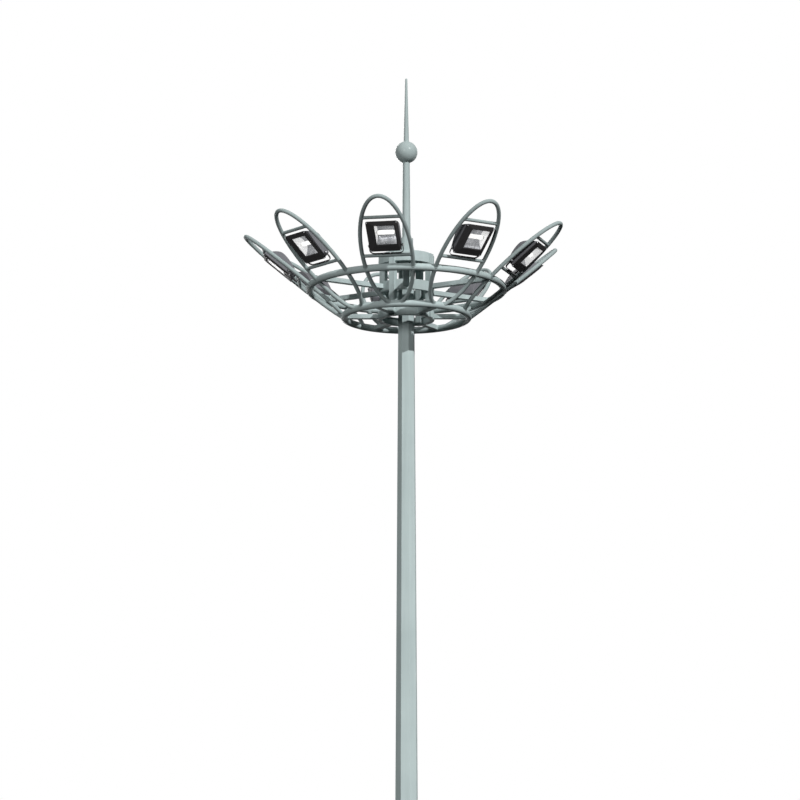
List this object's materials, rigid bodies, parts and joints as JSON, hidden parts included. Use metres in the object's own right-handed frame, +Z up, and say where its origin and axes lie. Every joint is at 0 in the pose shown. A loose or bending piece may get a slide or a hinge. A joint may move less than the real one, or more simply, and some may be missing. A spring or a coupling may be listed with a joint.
{
  "type": "high mast floodlight tower",
  "caption": "Tapered octagonal mast on a bolted base flange, with a finial and a lowering carriage of leaning petal frames that each hold a tilting floodlight.",
  "frame": {"origin": "centre of the underside of the base flange", "axes": "+Z up the mast; -Y is the side that faces the viewer; +X to the viewer's right"},
  "size_m": [3.9801, 4.0332, 17.3369],
  "materials": {
    "steel": "satin grey paint over galvanised steel",
    "black": "satin black powder coat",
    "grey": "grey powder coat on die-cast aluminium",
    "glass": "clear toughened glass"
  },
  "bodies": {
    "mast": {"base_flange": "steel", "base_gussets": "steel", "lower_shaft": "steel", "upper_shaft": "steel", "service_door": "steel", "head_lid": "steel", "finial_collar": "steel", "finial_stem": "steel", "finial_ball": "steel", "finial_spike": "steel"},
    "carriage": {"top_band": "steel", "middle_band": "steel", "bottom_band": "steel", "hub_columns": "steel", "upper_arms": "steel", "lower_arms": "steel", "upper_ring": "steel", "lower_ring": "steel", "stirrups": "black", "petal_1": "steel", "petal_2": "steel", "petal_3": "steel", "petal_4": "steel", "petal_5": "steel", "petal_6": "steel", "petal_7": "steel", "petal_8": "steel", "petal_9": "steel"},
    "floodlight_1": {"housing_1": "grey", "front_frame_1": "black", "glass_1": "glass"},
    "floodlight_2": {"housing_2": "grey", "front_frame_2": "black", "glass_2": "glass"},
    "floodlight_3": {"housing_3": "grey", "front_frame_3": "black", "glass_3": "glass"},
    "floodlight_4": {"housing_4": "grey", "front_frame_4": "black", "glass_4": "glass"},
    "floodlight_5": {"housing_5": "grey", "front_frame_5": "black", "glass_5": "glass"},
    "floodlight_6": {"housing_6": "grey", "front_frame_6": "black", "glass_6": "glass"},
    "floodlight_7": {"housing_7": "grey", "front_frame_7": "black", "glass_7": "glass"},
    "floodlight_8": {"housing_8": "grey", "front_frame_8": "black", "glass_8": "glass"},
    "floodlight_9": {"housing_9": "grey", "front_frame_9": "black", "glass_9": "glass"}
  },
  "joints": [
    {"name": "carriage_lowering", "type": "slide", "parent": "mast", "child": "carriage", "axis": [0, 0, -1], "range_m": [0, 13]},
    {"name": "floodlight_1_tilt", "type": "hinge", "parent": "carriage", "child": "floodlight_1", "pos_m": [-0.24646, -1.43432, 14.79191], "axis": [0.9856, -0.1693, 0], "range_deg": [-15, 15]},
    {"name": "floodlight_2_tilt", "type": "hinge", "parent": "carriage", "child": "floodlight_2", "pos_m": [0.73316, -1.25717, 14.79191], "axis": [0.8638, 0.5038, 0], "range_deg": [-15, 15]},
    {"name": "floodlight_3_tilt", "type": "hinge", "parent": "carriage", "child": "floodlight_3", "pos_m": [1.36973, -0.49178, 14.79191], "axis": [0.3379, 0.9412, 0], "range_deg": [-15, 15]},
    {"name": "floodlight_4_tilt", "type": "hinge", "parent": "carriage", "child": "floodlight_4", "pos_m": [1.36539, 0.50372, 14.79191], "axis": [-0.3461, 0.9382, 0], "range_deg": [-15, 15]},
    {"name": "floodlight_5_tilt", "type": "hinge", "parent": "carriage", "child": "floodlight_5", "pos_m": [0.72216, 1.26352, 14.79191], "axis": [-0.8682, 0.4962, 0], "range_deg": [-15, 15]},
    {"name": "floodlight_6_tilt", "type": "hinge", "parent": "carriage", "child": "floodlight_6", "pos_m": [-0.25897, 1.43211, 14.79191], "axis": [-0.984, -0.1779, 0], "range_deg": [-15, 15]},
    {"name": "floodlight_7_tilt", "type": "hinge", "parent": "carriage", "child": "floodlight_7", "pos_m": [-1.11892, 0.9306, 14.79191], "axis": [-0.6394, -0.7688, 0], "range_deg": [-15, 15]},
    {"name": "floodlight_8_tilt", "type": "hinge", "parent": "carriage", "child": "floodlight_8", "pos_m": [-1.45532, -0.00635, 14.79191], "axis": [0.0044, -1, 0], "range_deg": [-15, 15]},
    {"name": "floodlight_9_tilt", "type": "hinge", "parent": "carriage", "child": "floodlight_9", "pos_m": [-1.11076, -0.94033, 14.79191], "axis": [0.6461, -0.7632, 0], "range_deg": [-15, 15]}
  ]
}
